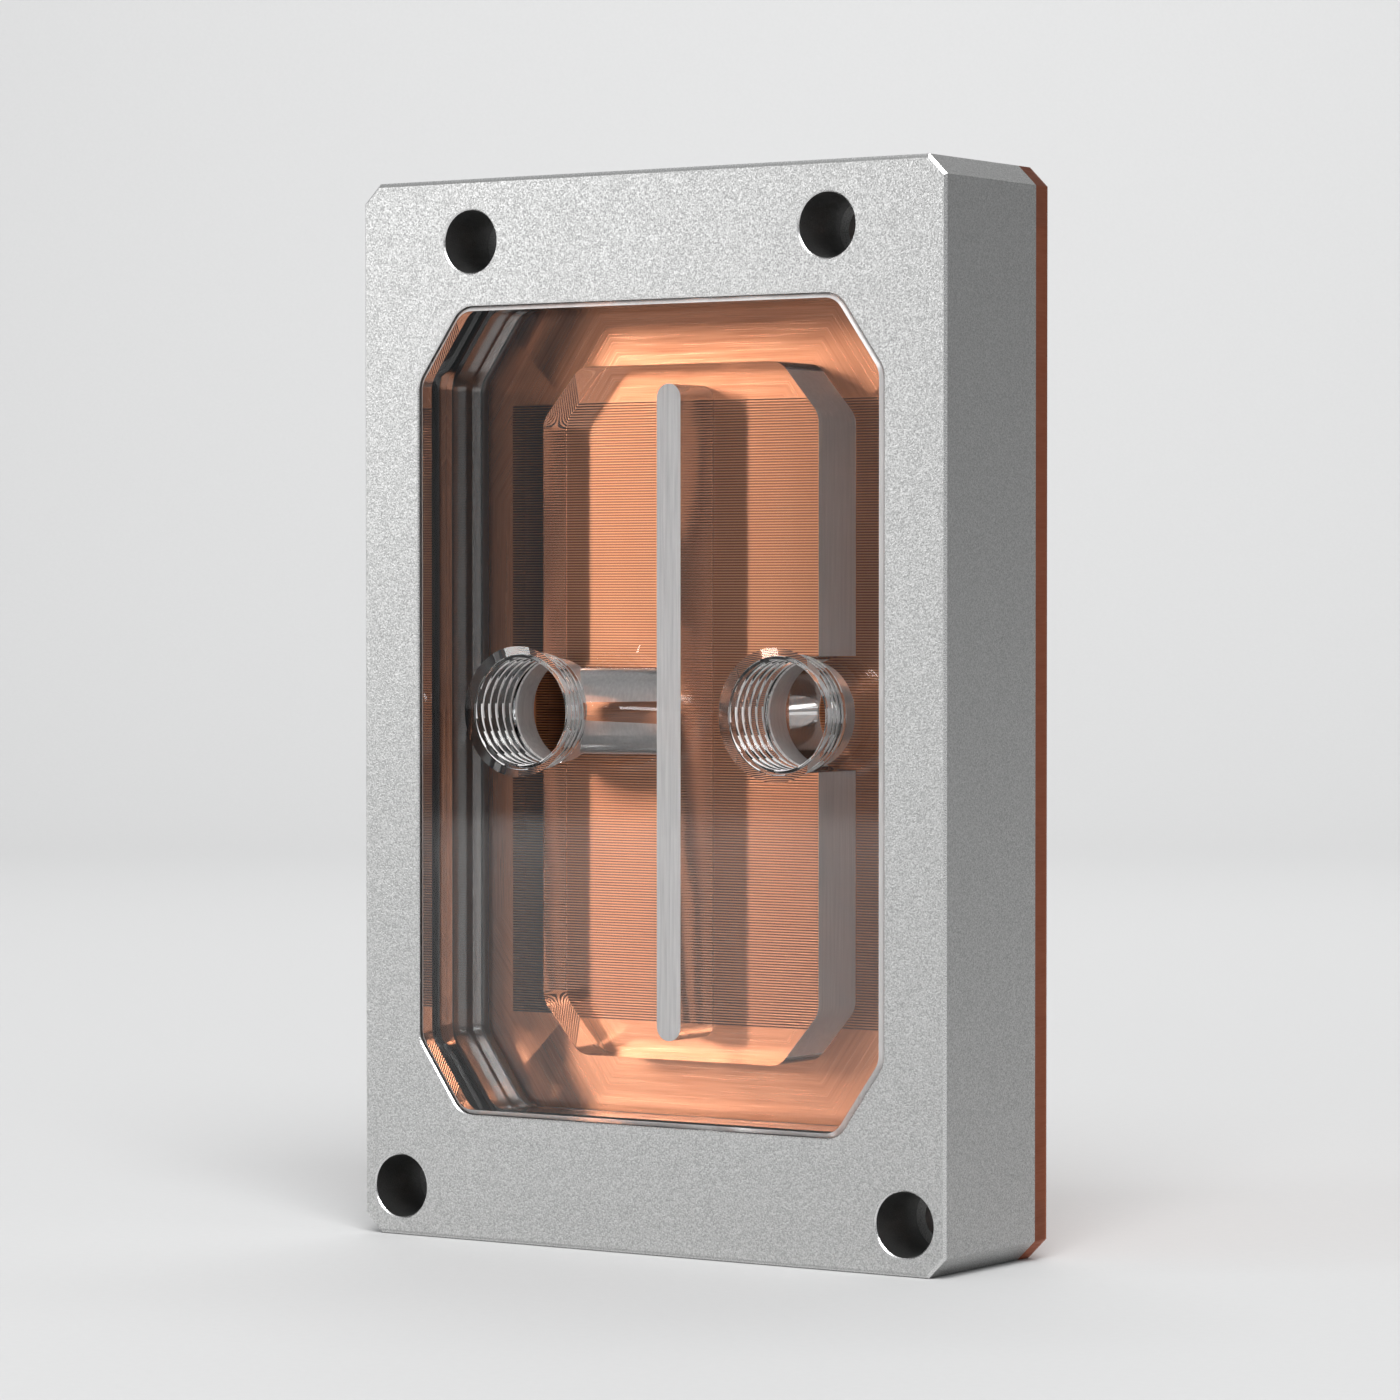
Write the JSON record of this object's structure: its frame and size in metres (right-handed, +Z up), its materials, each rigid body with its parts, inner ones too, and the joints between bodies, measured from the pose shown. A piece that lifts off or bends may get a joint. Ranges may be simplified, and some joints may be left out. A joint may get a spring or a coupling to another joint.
{
  "type": "liquid cooling cold plate",
  "caption": "Liquid cooled block: a metal frame clamps a clear plate with coolant passages over a copper plate with fine fins.",
  "frame": {"origin": "centre of the bottom edge: the middle of the block's width and depth, on the face that it stands on", "axes": "+Z up along the block's long side, +X across it to the right as seen from the ports, +Y from the front with the ports to the flat copper face"},
  "size_m": [0.077, 0.0216, 0.119],
  "materials": {
    "frame_metal": "bead blasted",
    "clear_plastic": "polished clear",
    "copper": "fine brushed copper",
    "seal_rubber": "matt",
    "screw_steel": "turned"
  },
  "bodies": {
    "root": {"clamp_frame": "frame_metal", "flow_plate": "clear_plastic", "cold_plate": "copper", "perimeter_seal": "seal_rubber", "cold_plate_screw_01": "screw_steel", "cold_plate_screw_02": "screw_steel", "cold_plate_screw_03": "screw_steel", "cold_plate_screw_04": "screw_steel", "cold_plate_screw_05": "screw_steel", "cold_plate_screw_06": "screw_steel", "cold_plate_screw_07": "screw_steel", "cold_plate_screw_08": "screw_steel"}
  },
  "joints": []
}
